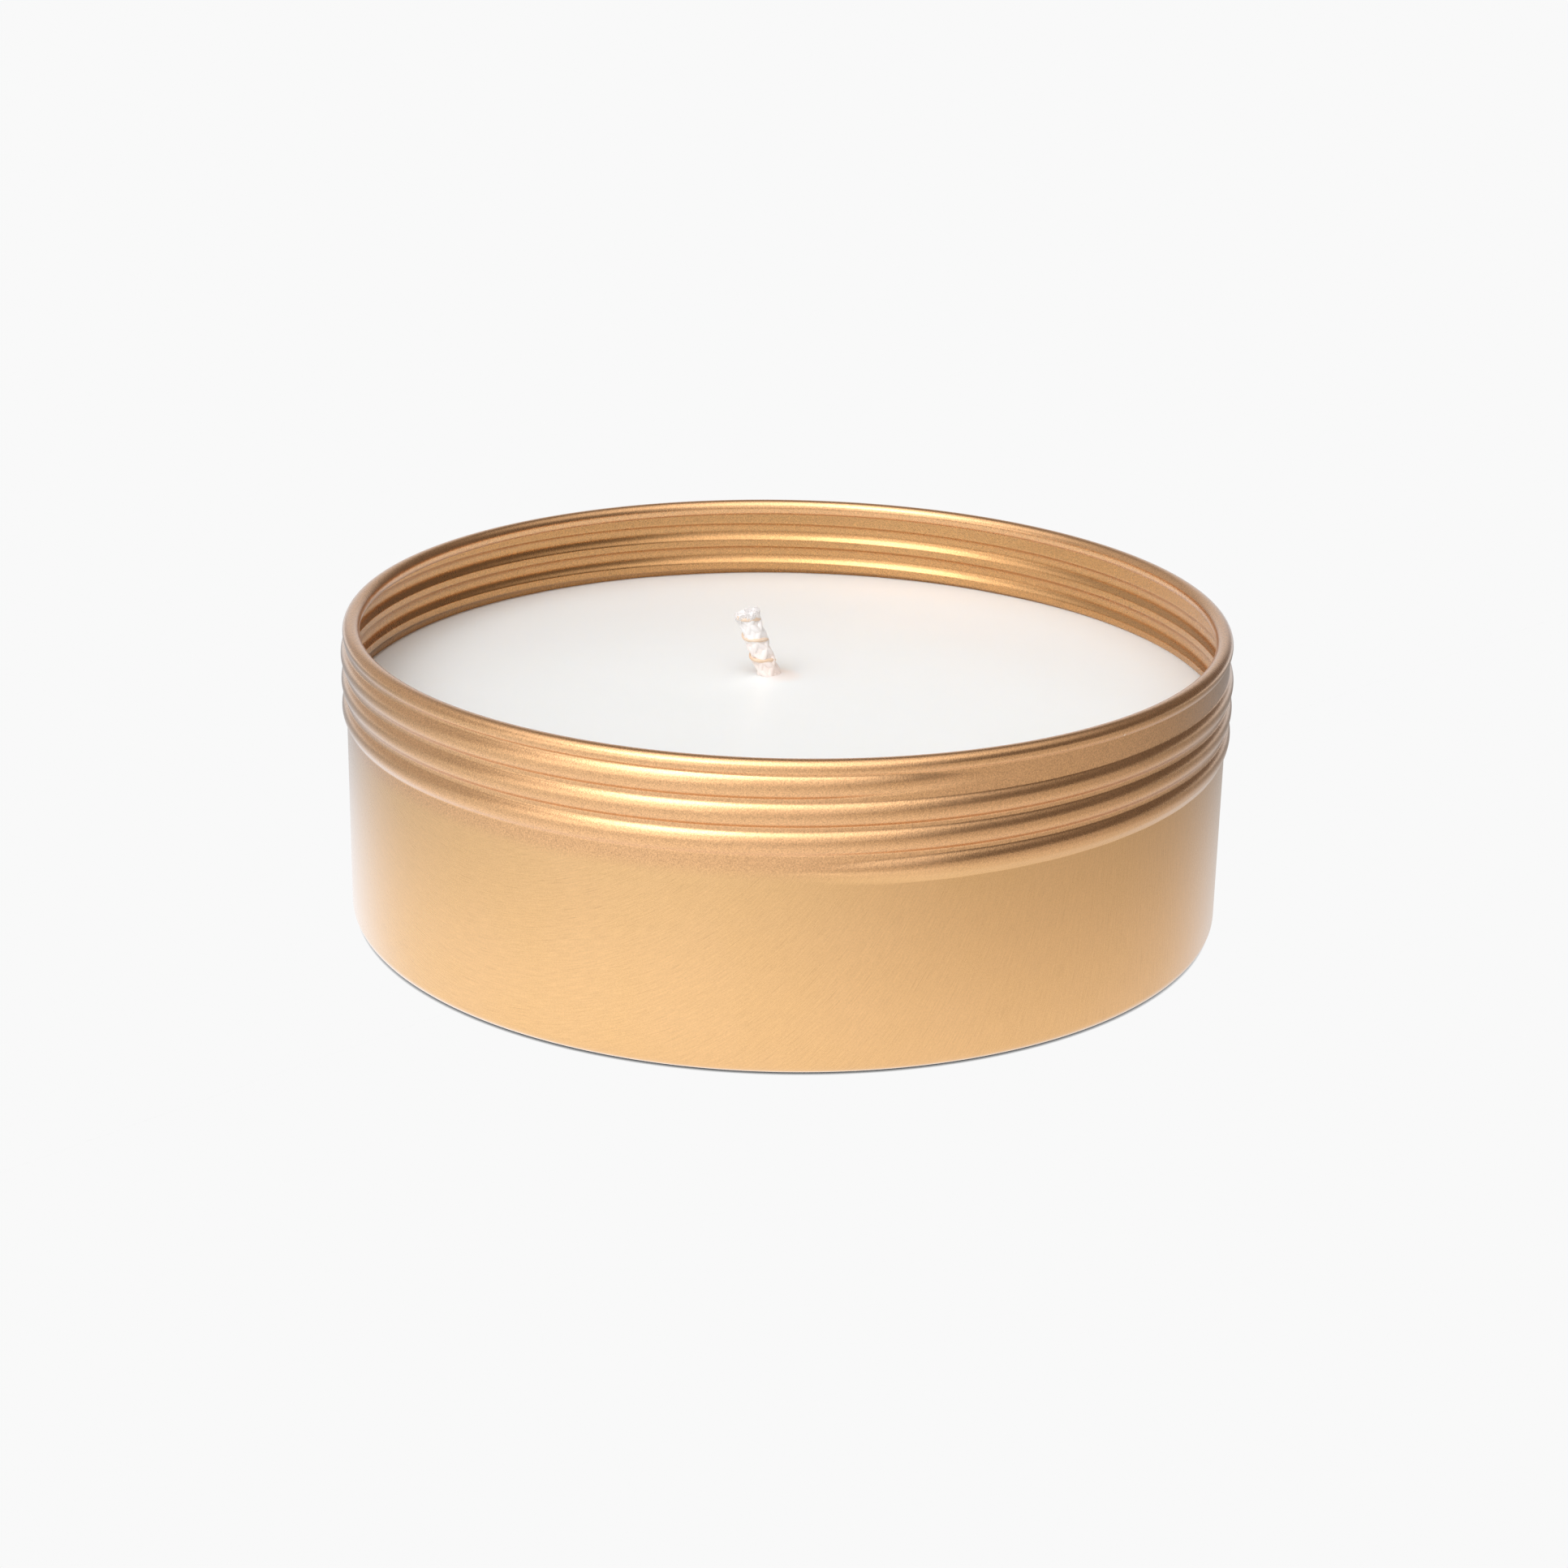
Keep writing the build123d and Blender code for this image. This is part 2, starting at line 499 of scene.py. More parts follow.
def streak_effect() -> Effect:
    """Short fine streaks, as rolling leaves in sheet metal or a lay leaves in fibre.

    Returns:
        The group, with Height about 0, and Scratch from 0 to 1 on a few stronger streaks.
    """
    sizes = {"Length": 3 * MM, "Width": 0.12 * MM}
    effect = Effect("streaks", sizes, ("Height", "Scratch"))
    graph = effect.graph
    x, y, z = graph.split(effect.source.outputs["Vector"])
    length = effect.read("Length")
    width = effect.read("Width")
    lay = graph.join(x / length, y / width, z / width)
    long_lay = graph.join(x / length * 0.6, y / width * 0.7, z / width * 0.7)
    effect.give("Height", graph.noise(lay, 1.0, 3.0, 0.6) - 0.5)
    effect.give("Scratch", graph.ramp(graph.noise(long_lay, 1.0, 1.0, 0.4), 0.66, 0.76))
    return effect


def speck_effect() -> Effect:
    """Sparse round specks.

    Returns:
        The group, with Speck from 0 to 1.
    """
    sizes = {"Spacing": 4 * MM, "Radius": 0.1 * MM, "Share": 0.5}
    effect = Effect("specks", sizes, ("Speck",))
    graph = effect.graph
    place = graph.scaled(effect.source.outputs["Vector"], 1.0 / effect.read("Spacing"))
    cells = graph.node("ShaderNodeTexVoronoi", {"Vector": place, "Scale": 1.0})
    reach = effect.read("Radius") / effect.read("Spacing")
    near = 1.0 - graph.ramp(Scalar(graph, cells.outputs["Distance"]), reach * 0.5, reach)
    chance = graph.split(cells.outputs["Color"])[0]
    effect.give("Speck", near * graph.math("LESS_THAN", chance, effect.read("Share")))
    return effect


@dataclass(frozen=True)
class Effects:
    """The shader groups that the finishes share."""

    grain: Effect
    streaks: Effect
    specks: Effect

    @classmethod
    def build(cls) -> "Effects":
        """Builds each group once."""
        return cls(grain_effect(), streak_effect(), speck_effect())


# ---------------------------------------------------------------- finishes


class Surface:
    """A material with one Principled shader."""

    def __init__(self, name: str, **constants: object) -> None:
        """Starts the material.

        Args:
            name: its name.
            **constants: plain values of the shader, with _ for a space in a name.
        """
        self.material = bpy.data.materials.new(name)
        self.material.use_nodes = True
        self.material.node_tree.nodes.clear()
        self.graph = Graph(self.material.node_tree)
        values = {key.replace("_", " "): value for key, value in constants.items()}
        self.shader = self.graph.node("ShaderNodeBsdfPrincipled", values)
        self.place = object_place(self.graph)
        self.graph.node("ShaderNodeOutputMaterial", {"Surface": self.shader.outputs[0]})

    def finish(self, color: object, roughness: Scalar, relief: Scalar, depth: float) -> bpy.types.Material:
        """Gives the shader its colour, roughness and bumped normal.

        Args:
            color: the base colour.
            roughness: its roughness.
            relief: the bumps, about -0.5 to 0.5.
            depth: how deep that relief is, in metres.

        Returns:
            The material.
        """
        bumps = {"Height": relief, "Strength": 1.0, "Distance": depth}
        normal = self.graph.out("ShaderNodeBump", bumps)
        for name, value in {"Base Color": color, "Roughness": roughness, "Normal": normal}.items():
            self.graph.feed(self.shader.inputs[name], value)
        return self.material


def object_place(graph: Graph) -> bpy.types.NodeSocket:
    """Where a point of the piece is, in metres."""
    return graph.node("ShaderNodeTexCoord").outputs["Object"]


@dataclass(frozen=True)
class Mark:
    """A small chip or scuff at one place on the tin."""

    azimuth_deg: float  # 0 is at the front (-Y), 90 at +X
    radius: float
    height: float
    size: float
    color: Color

    def mask(self, graph: Graph, place: bpy.types.NodeSocket) -> Scalar:
        """Where the mark shows.

        Args:
            graph: the material's graph.
            place: the point in object space.

        Returns:
            A number that falls from 1 on the mark to 0 beside it.
        """
        angle = radians(self.azimuth_deg)
        middle = (self.radius * sin(angle), -self.radius * cos(angle), self.height)
        return 1.0 - graph.ramp(graph.distance(place, middle), self.size * 0.5, self.size)


@dataclass(frozen=True)
class GoldFinish:
    """Gold lacquer over drawn aluminium sheet, with the sheet's rolling streaks under it."""

    color: Color = (0.82, 0.50, 0.215, 1.0)
    worn: Color = (0.90, 0.58, 0.35, 1.0)
    dark: Color = (0.30, 0.16, 0.06, 1.0)
    formed_and_reflection_tint: Color = (0.95, 0.89, 0.93, 1.0)  # tint of the lacquer where forming has stretched it, which also paints the pinkish reflection of the ridges and rim
    # painted shade: the inside of the thread is multiplied by this
    inside: Color = (0.80, 0.75, 0.60, 1.0)
    # painted sheen: what is seen edge on, away from the inside of the thread, pales towards this
    edge: Color = (0.97, 0.88, 0.88, 1.0)
    edge_sheen_share: float = 0.8
    roughness: float = 0.28
    coat: float = 0.8
    coat_roughness: float = 0.25
    rolling_deg: float = -40.0  # direction of rolling in the flat sheet, from +X
    streak_depth: float = 0.007 * MM
    grain_depth: float = 0.014 * MM
    stretch_above: float = 21.0 * MM  # over this height the thread and roll have stretched the lacquer
    stretch_fade: float = 2.0 * MM
    arc_tolerance: float = 0.1 * MM
    marks: tuple[Mark, ...] = (
        Mark(-36.0, 48.3 * MM, 33.75 * MM, 0.32 * MM, (0.16, 0.10, 0.06, 1.0)),
        Mark(39.0, 49.7 * MM, 32.3 * MM, 0.20 * MM, (0.25, 0.15, 0.08, 1.0)),
        Mark(44.0, 49.7 * MM, 32.5 * MM, 0.22 * MM, (0.98, 0.88, 0.75, 1.0)),
        Mark(55.0, 49.7 * MM, 32.4 * MM, 0.18 * MM, (0.98, 0.88, 0.75, 1.0)),
    )

    def sheet_place(self, graph: Graph) -> bpy.types.NodeSocket:
        """Where a point of the tin was in the flat sheet, turned so that X runs along the rolling.

        Args:
            graph: the material's graph.

        Returns:
            A vector in metres.
        """
        x, y, z = graph.split(object_place(graph))
        radius = graph.math("SQRT", x * x + y * y)
        drawn = (radius + z) / graph.math("MAXIMUM", radius, MM)
        flat = graph.join(x * drawn, y * drawn, 0.0)
        turn = (0.0, 0.0, -radians(self.rolling_deg))
        return graph.out("ShaderNodeMapping", {"Vector": flat, "Rotation": turn})

    def paint_inside_shade_and_edge_sheen(self, graph: Graph, color: bpy.types.NodeSocket, inner_arc: float) -> bpy.types.NodeSocket:
        """Paints shade on the inside of the thread and a pale sheen on what is seen edge on.

        Args:
            graph: the material's graph.
            color: the lacquer's colour.
            inner_arc: radius of the thread's ridges on the inside.

        Returns:
            The colour.
        """
        arc = graph.node("ShaderNodeAttribute", attribute_name=ARC_ATTRIBUTE).outputs["Fac"]
        # painted shade on the inside of the thread
        inside = graph.math("COMPARE", arc, inner_arc, self.arc_tolerance)
        shaded = graph.mix(inside, color, graph.tinted(color, self.inside))
        # painted sheen where the surface is seen edge on
        facing = graph.node("ShaderNodeLayerWeight", {"Blend": 0.3}).outputs["Facing"]
        pale = graph.ramp(facing, 0.35, 0.95) * (1.0 - inside) * self.edge_sheen_share
        return graph.mix(pale, shaded, self.edge)

    def material(self, effects: Effects, inner_arc: float) -> bpy.types.Material:
        """Builds the finish.

        Args:
            effects: the shared shader groups.
            inner_arc: radius of the thread's ridges on the inside.

        Returns:
            The material.
        """
        surface = Surface(
            "gold_lacquer", Metallic=1.0, Coat_Weight=self.coat, Coat_Roughness=self.coat_roughness
        )
        graph, place = surface.graph, surface.place
        height = graph.split(place)[2]
        stretched = graph.ramp(height, self.stretch_above, self.stretch_above + self.stretch_fade)
        grain = effects.grain.place(graph, place, grain_size=0.16 * MM, mottle_size=9 * MM)
        streaks = effects.streaks.place(graph, self.sheet_place(graph), length=2.6 * MM, width=0.13 * MM)
        specks = effects.specks.place(graph, place, spacing=7 * MM, radius=0.11 * MM, share=0.35)
        tone = graph.mix(grain["Mottle"] * 0.22, self.color, self.worn)
        scratched = graph.mix(streaks["Scratch"] * 0.16 * (1.0 - stretched), tone, self.dark)
        color = graph.mix(specks["Speck"] * 0.5, scratched, self.dark)
        # pinker above the thread's start: stretched lacquer, and a painted pinkish reflection
        color = graph.mix(stretched, color, graph.tinted(color, self.formed_and_reflection_tint))
        sparkle = grain["Height"] * (stretched * 0.9 + 0.3) + streaks["Height"] * (1.0 - stretched) * 0.35
        level = sparkle + 1.0
        color = graph.tinted(color, graph.join(level, level, level))
        for mark in self.marks:
            color = graph.mix(mark.mask(graph, place), color, mark.color)
        rough = self.roughness + (grain["Mottle"] - 0.5) * 0.08 + streaks["Height"] * 0.06
        relief = streaks["Height"] * (1.0 - stretched * 0.7) * (self.streak_depth / self.grain_depth)
        relief = relief + grain["Height"] * (stretched * 0.75 + 0.25)
        return surface.finish(self.paint_inside_shade_and_edge_sheen(graph, color, inner_arc), rough, relief, self.grain_depth)


@dataclass(frozen=True)
class WaxFinish:
    """Smooth ivory wax that light goes a little way into."""

    color: Color = (0.895, 0.935, 0.935, 1.0)
    cloudy: Color = (0.865, 0.905, 0.90, 1.0)
    wick_shadow: Color = (0.93, 0.83, 0.77, 1.0)  # painted shadow that the wick casts on the wax
    wick_shadow_at: tuple[float, float, float] = (0.0, 0.0, 0.0)
    wick_shadow_reach: float = 3.2 * MM
    scatter: tuple[float, float, float] = (1.0, 0.95, 0.88)
    scatter_depth: float = 2.5 * MM
    scatter_share: float = 0.5
    ior: float = 1.44
    roughness: float = 0.27
    relief_depth: float = 0.006 * MM

    def material(self, effects: Effects) -> bpy.types.Material:
        """Builds the finish."""
        surface = Surface(
            "ivory_wax",
            IOR=self.ior,
            Subsurface_Weight=self.scatter_share,
            Subsurface_Radius=self.scatter,
            Subsurface_Scale=self.scatter_depth,
        )
        graph, place = surface.graph, surface.place
        grain = effects.grain.place(graph, place, grain_size=0.5 * MM, mottle_size=16 * MM)
        specks = effects.specks.place(graph, place, spacing=9 * MM, radius=0.12 * MM, share=0.3)
        # painted shadow of the wick, pinkish and to its right
        off = graph.distance(place, self.wick_shadow_at)
        shadowed = (1.0 - graph.ramp(off, 0.3 * self.wick_shadow_reach, self.wick_shadow_reach)) * 0.75
        color = graph.mix(shadowed, graph.mix(grain["Mottle"], self.color, self.cloudy), self.wick_shadow)
        relief = grain["Height"] * 0.4 + (grain["Mottle"] - 0.5) * 8.0 + specks["Speck"]
        return surface.finish(color, self.roughness + grain["Mottle"] * 0.1, relief, self.relief_depth)


@dataclass(frozen=True)
class FibreFinish:
    """Waxed fibre, as in the wick's cotton strands or its paper filament."""

    name: str
    color: Color
    # painted shade in the low parts of the fibre relief, broken up by a random mottle
    deep: Color
    waxed: Color  # near the wax, which has soaked in
    dry_above: float
    fibre_length: float = 1.2 * MM
    fibre_width: float = 0.05 * MM
    dry_fade: float = 5.0 * MM
    relief_depth: float = 0.03 * MM
    sheen: float = 0.4

    def material(self, effects: Effects) -> bpy.types.Material:
        """Builds the finish, with the fibres along the piece's own UV map."""
        surface = Surface(self.name, Sheen_Weight=self.sheen)
        graph, place = surface.graph, surface.place
        along = graph.out("ShaderNodeUVMap", uv_map=FIBRE_UV)
        fibres = effects.streaks.place(graph, along, length=self.fibre_length, width=self.fibre_width)
        grain = effects.grain.place(graph, place, grain_size=0.08 * MM, mottle_size=1.5 * MM)
        # painted shade: the low parts of the fibre relief take the deep tint, with a random mottle
        depth = graph.ramp(fibres["Height"] + (grain["Mottle"] - 0.5) * 0.6, -0.3, 0.25)
        height = graph.split(place)[2] + (grain["Mottle"] - 0.5) * (3 * MM)
        dry = graph.ramp(height, self.dry_above - self.dry_fade, self.dry_above)
        tone = graph.mix(dry, self.waxed, self.color)
        color = graph.mix(depth, graph.tinted(tone, self.deep), tone)
        relief = fibres["Height"] + grain["Height"] * 0.4
        return surface.finish(color, 0.55 + grain["Mottle"] * 0.25, relief, self.relief_depth)


@dataclass(frozen=True)
class TabFinish:
    """Plain finish of the hidden tab: tinned steel or white foam."""

    name: str
    color: Color
    shade: Color
    metallic: float
    roughness: float
    grain_size: float
    grain_depth: float

    def material(self, effects: Effects) -> bpy.types.Material:
        """Builds the finish."""
        surface = Surface(self.name, Metallic=self.metallic)
        graph, place = surface.graph, surface.place
        grain = effects.grain.place(graph, place, grain_size=self.grain_size, mottle_size=3 * MM)
        streaks = effects.streaks.place(graph, place, length=2 * MM, width=0.1 * MM)
        color = graph.mix(grain["Mottle"], self.shade, self.color)
        relief = grain["Height"] + streaks["Height"] * self.metallic
        return surface.finish(color, self.roughness + grain["Mottle"] * 0.12, relief, self.grain_depth)


# ---------------------------------------------------------------- turned shapes


def arc_points(
    centre: tuple[float, float], radius: float, start_deg: float, end_deg: float, steps: int
) -> Profile:
    """Points along a round stretch of a profile.

    Args:
        centre: its middle, as radius and height.
        radius: its own radius.
        start_deg: where it starts, from outwards and over the top.
        end_deg: where it ends.
        steps: how many spans it has.

    Returns:
        The points, none of them on the thread.
    """
    angles = [radians(start_deg + (end_deg - start_deg) * step / steps) for step in range(steps + 1)]
    return [(centre[0] + radius * cos(a), centre[1] + radius * sin(a), 0.0) for a in angles]


def line_points(
    start: tuple[float, float], end: tuple[float, float], steps: int, arc: float = 0.0
) -> Profile:
    """Points along a straight stretch of a profile, both ends included.

    Args:
        start: the first point, as radius and height.
        end: the last point.
        steps: how many spans it has.
        arc: radius of the thread's ridge on this face of the sheet, or 0 off the thread.

    Returns:
        The points.
    """
    shares = [step / steps for step in range(steps + 1)]
    return [(start[0] + (end[0] - start[0]) * t, start[1] + (end[1] - start[1]) * t, arc) for t in shares]


def profile_mesh(name: str, points: Profile) -> bpy.types.Mesh:
    """A mesh of loose points that holds a profile.

    Args:
        name: the mesh's name.
        points: radius, height and ridge radius of each point.

    Returns:
        The mesh, with the ridge radius as an attribute.
    """
    kept = [point for at, point in enumerate(points) if at == 0 or point[:2] != points[at - 1][:2]]
    mesh = bpy.data.meshes.new(name)
    mesh.from_pydata([(r, 0.0, z) for r, z, _ in kept], [], [])
    attribute = mesh.attributes.new(ARC_ATTRIBUTE, "FLOAT", "POINT")
    attribute.data.foreach_set("value", [arc for _, _, arc in kept])
    return mesh


@dataclass(frozen=True)
class Thread:
    """The right-hand thread that is rolled in the wall. Lengths are in metres."""

    wall_r: float
    top_z: float
    pitch: float = 3.0 * MM
    ridge_w: float = 2.45 * MM
    proud: float = 0.5 * MM
    top_drop: float = 2.46 * MM
    turns_deg: float = 1127.0
    start_deg: float = -102.0
    fade_deg: float = 34.0
    crease: float = 0.22 * MM
    soft_start: float = 0.7 * MM

    @property
    def start_z(self) -> float:
        """Height of the ridge's middle where the thread begins."""
        return self.top_z - self.top_drop - self.pitch * self.turns_deg / 360

    @property
    def arc_r(self) -> float:
        """Radius of a ridge's outer face."""
        return self.proud / 2 + self.ridge_w**2 / (8 * self.proud)

    @property
    def low_z(self) -> float:
        """Height under which the wall is plain."""
        return self.start_z - self.ridge_w * 0.75

    def rise(self, shape: ShapeTree, angle: Scalar, height: Scalar, face_r: Scalar, arc: Scalar) -> Scalar:
        """How far a point of the sheet stands out with the thread.

        Args:
            shape: the tree that the nodes go in; it gets the thread's sizes as inputs.
            angle: the point's angle round the tin, from +X.
            height: its height.
            face_r: radius of the sheet's face.
            arc: radius of the ridge on that face, or 0 off the thread.

        Returns:
            The distance in metres.
        """
        graph = shape.graph
        pitch = shape.size("Thread Pitch", self.pitch)
        start_z = shape.size("Thread Start Height", self.start_z)
        start = shape.size("Thread Start Angle", radians(self.start_deg))
        turns = shape.size("Thread Angle", radians(self.turns_deg))
        fade = shape.size("Thread Fade", radians(self.fade_deg))
        proud = shape.size("Ridge Height", self.proud)
        crease = shape.size("Crease Softness", self.crease)
        soft = shape.size("First Turn Softness", self.soft_start)
        centre_r = shape.size("Ridge Centre Radius", self.wall_r + self.proud - self.arc_r)
        around = (height - start_z) / pitch - (angle - start) / TURN
        ridge = around.function("ROUND")
        off = (around - ridge) * pitch
        along = ridge * TURN + (angle - start)
        shown = graph.ramp(along, 0.0, fade) * graph.ramp(turns - along, 0.0, fade)
        inside = graph.math("MAXIMUM", arc * arc - off * off, 0.0)
        lower_side = graph.ramp(-off, 0.0, proud * 1.6) * (1.0 - graph.ramp(along, TURN * 0.45, TURN * 0.75))
        softness = crease + soft * lower_side
        crest = inside.function("SQRT") - (face_r - centre_r) - (1.0 - shown) * (proud + softness)
        raised = graph.math("SMOOTH_MAX", crest, 0.0, softness)
        return raised * graph.math("GREATER_THAN", arc, 0.0)


def revolve(
    shape: ShapeTree, segments: int, thread: Thread
) -> tuple[bpy.types.NodeSocket, Scalar, Scalar, Scalar]:
    """Turns the profile that the tree is given once round the Z axis.

    Args:
        shape: the tree that the nodes go in.
        segments: how many spans there are round the piece.
        thread: the thread that its faces follow.

    Returns:
        The flat grid, and each point's radius, angle and height on the turned piece.
    """
    graph = shape.graph
    profile = shape.source.outputs["Geometry"]
    around = shape.count("Segments", segments)
    rows = Scalar(graph, graph.node("GeometryNodeAttributeDomainSize", {0: profile}).outputs["Point Count"])
    sides = {"Size X": 1.0, "Size Y": 1.0, "Vertices X": around + 1.0, "Vertices Y": rows}
    grid = graph.node("GeometryNodeMeshGrid", sides).outputs["Mesh"]
    place = graph.out("GeometryNodeInputPosition")
    across, up, _ = graph.split(place)
    angle = (across + 0.5) * TURN
    row = ((up + 0.5) * (rows - 1.0)).function("ROUND")
    radius, _, height = graph.split(graph.sampled(profile, place, row, "FLOAT_VECTOR"))
    arc = Scalar(graph, graph.sampled(profile, graph.named(ARC_ATTRIBUTE), row))
    kept = graph.store(grid, ARC_ATTRIBUTE, arc)
    return kept, radius + thread.rise(shape, angle, height, radius, arc), angle, height


def set_round(
    graph: Graph, grid: object, radius: Scalar, angle: Scalar, height: Scalar
) -> bpy.types.NodeSocket:
    """Wraps the grid round the Z axis and closes its seam and poles.

    Args:
        graph: the tree.
        grid: the flat grid.
        radius: each point's radius.
        angle: each point's angle.
        height: each point's height.

    Returns:
        The closed mesh.
    """
    place = graph.join(radius * angle.function("COSINE"), radius * angle.function("SINE"), height)
    moved = graph.out("GeometryNodeSetPosition", {"Geometry": grid, "Position": place})
    return graph.out("GeometryNodeMergeByDistance", {"Geometry": moved, "Distance": SAME_POINT})


# ---------------------------------------------------------------- the tin


@dataclass(frozen=True)
class TinBody:
    """The drawn tin: base, wall, rolled thread and curled rim in one sheet. Lengths are in metres."""

    wall_r: float
    inner_r: float
    height: float
    finish: GoldFinish = field(default_factory=GoldFinish)
    corner_r: float = 1.3 * MM
    rest_ring_w: float = 5.0 * MM
    panel_rise: float = 0.5 * MM
    panel_slope_deg: float = 45.0
    curl_d: float = 1.9 * MM
    curl_proud: float = 0.25 * MM
    curl_gap_from_deg: float = 245.0
    segments: int = 240
    outer_step: float = 0.062 * MM
    inner_step: float = 0.11 * MM

    @property
    def sheet(self) -> float:
        """Thickness of the sheet."""
        return self.wall_r - self.inner_r

    @property
    def thread(self) -> Thread:
        """The thread in the wall."""
        return Thread(self.wall_r, self.height)

    def profile(self) -> Profile:
        """The sheet's section, from the middle of the base, round the rim and back inside.

        Returns:
            Radius, height and ridge radius of each point.
        """
        thread = self.thread
        sheet = self.sheet
        corner = (self.wall_r - self.corner_r, self.corner_r)
        ring_r = corner[0] - self.rest_ring_w
        panel_r = ring_r - self.panel_rise
        inner_panel_r = panel_r + sheet * tan(radians(self.panel_slope_deg) / 2)
        curl_r = self.curl_d / 2
        roll_r = curl_r - sheet
        curl = (self.wall_r + self.curl_proud - curl_r, self.height - curl_r)
        outer_join = degrees(asin((self.wall_r - curl[0]) / curl_r)) - 90
        inner_join = degrees(asin((self.inner_r - curl[0]) / roll_r)) - 90
        outer_top = curl[1] + curl_r * sin(radians(outer_join))
        inner_top = curl[1] + roll_r * sin(radians(inner_join))
        outer_rows = round((outer_top - thread.low_z) / self.outer_step)
        inner_rows = round((inner_top - thread.low_z) / self.inner_step)
        floor_z = self.panel_rise + sheet
        points: Profile = line_points((0.0, self.panel_rise), (panel_r, self.panel_rise), 5)
        points += line_points((panel_r, self.panel_rise), (ring_r, 0.0), 2)
        points += line_points((ring_r, 0.0), (corner[0], 0.0), 2)
        points += arc_points(corner, self.corner_r, -90, 0, 8)
        points += line_points((self.wall_r, self.corner_r), (self.wall_r, thread.low_z), 6)
        points += line_points((self.wall_r, thread.low_z), (self.wall_r, outer_top), outer_rows, thread.arc_r)
        points += arc_points(curl, curl_r, outer_join, self.curl_gap_from_deg, 40)
        points += arc_points(curl, roll_r, self.curl_gap_from_deg, inner_join, 18)
        inner_wall = ((self.inner_r, inner_top), (self.inner_r, thread.low_z))
        points += line_points(*inner_wall, inner_rows, thread.arc_r - sheet)
        points += line_points((self.inner_r, thread.low_z), (self.inner_r, self.corner_r), 4)
        points += arc_points(corner, self.corner_r - sheet, 0, -90, 5)
        points += line_points((corner[0], sheet), (inner_panel_r + self.panel_rise, sheet), 2)
        points += line_points((inner_panel_r + self.panel_rise, sheet), (inner_panel_r, floor_z), 2)
        points += line_points((inner_panel_r, floor_z), (0.0, floor_z), 4)
        return points

    def build(self, effects: Effects) -> bpy.types.Object:
        """Makes and dresses the tin.

        Args:
            effects: the shared shader groups.

        Returns:
            The piece.
        """
        shape = ShapeTree("turned_sheet")
        grid, radius, angle, height = revolve(shape, self.segments, self.thread)
        closed = set_round(shape.graph, grid, radius, angle, height)
        shape.close(closed, self.finish.material(effects, self.thread.arc_r - self.sheet))
        piece = shape.bake("tin_shell", profile_mesh("tin_profile", self.profile()))
        return stand_for(piece, Node.TIN)


# ---------------------------------------------------------------- the wax


@dataclass(frozen=True)
class WaxFill:
    """The poured wax. Lengths are in metres."""

    tin: TinBody
    top_z: float
    wick_x: float
    wick_y: float
    wick_r: float
    finish: WaxFinish = field(default_factory=WaxFinish)
    climb: float = 0.16 * MM  # how far the wax climbs the wall
    climb_w: float = 1.1 * MM
    mound: float = 0.45 * MM  # how far it climbs the wick
    mound_w: float = 2.2 * MM
    wave: float = 0.22 * MM  # unevenness of the edge
    tuck: float = 0.12 * MM  # how far its edge reaches into the sheet, so that no gap shows
    edge_w: float = 2.5 * MM  # the edge's width where the rows lie closer
    segments: int = 220

    def profile(self) -> Profile:
        """Section of the wax, from the middle of its underside to the middle of its surface."""
        tin = self.tin
        thread = tin.thread
        floor_z = tin.panel_rise + tin.sheet
        corner = (tin.wall_r - tin.corner_r, tin.corner_r)
        edge_r = tin.inner_r + self.tuck
        foot_r = corner[0] - tin.rest_ring_w
        arc = thread.arc_r - tin.sheet
        points: Profile = line_points((0.0, floor_z), (foot_r, floor_z), 3)
        points += line_points((foot_r, floor_z), (foot_r + tin.panel_rise, tin.sheet), 1)
        points += arc_points(corner, tin.corner_r - tin.sheet, -90, 0, 4)
        points += line_points((tin.inner_r, tin.corner_r), (edge_r, thread.low_z), 3)
        points += line_points((edge_r, thread.low_z), (edge_r, self.top_z), 16, arc)
        points += line_points((edge_r, self.top_z), (edge_r - self.edge_w, self.top_z), 20)
        points += line_points((edge_r - self.edge_w, self.top_z), (0.0, self.top_z), 110)
        return points

    def build(self, effects: Effects) -> bpy.types.Object:
        """Makes and dresses the wax.

        Args:
            effects: the shared shader groups.

        Returns:
            The piece.
        """
        shape = ShapeTree("poured_wax")
        graph = shape.graph
        grid, radius, angle, height = revolve(shape, self.segments, self.tin.thread)
        level = shape.size("Level", self.top_z)
        edge_r = shape.size("Edge Radius", self.tin.inner_r + self.tuck)
        climb = shape.size("Wall Climb", self.climb)
        climb_w = shape.size("Wall Climb Width", self.climb_w)
        mound = shape.size("Wick Climb", self.mound)
        mound_w = shape.size("Wick Climb Width", self.mound_w)
        wave = shape.size("Edge Wave", self.wave)
        from_wick_x = radius * angle.function("COSINE") - shape.size("Wick X", self.wick_x)
        from_wick_y = radius * angle.function("SINE") - shape.size("Wick Y", self.wick_y)
        from_wick = graph.math("SQRT", from_wick_x * from_wick_x + from_wick_y * from_wick_y)
        from_wick = graph.math("MAXIMUM", from_wick - shape.size("Wick Radius", self.wick_r), 0.0)
        from_edge = graph.math("MAXIMUM", edge_r - radius, 0.0)
        ring = graph.join(angle.function("COSINE"), angle.function("SINE"), 0.0)
        uneven = graph.noise(ring, 2.2, 3.0, 0.5) - 0.5
        at_edge = (from_edge / climb_w * -1.0).function("EXPONENT")
        near_edge = (from_edge / climb_w * -0.35).function("EXPONENT")
        lift = climb * at_edge + wave * uneven * near_edge
        lift = lift + mound * (from_wick / mound_w * -1.0).function("EXPONENT")
        on_top = graph.math("GREATER_THAN", height, level - 0.01 * MM)
        closed = set_round(graph, grid, radius, angle, height + lift * on_top)
        shape.close(closed, self.finish.material(effects))
        piece = shape.bake("wax", profile_mesh("wax_profile", self.profile()))
        return stand_for(piece, Node.WAX)


# ---------------------------------------------------------------- the wick


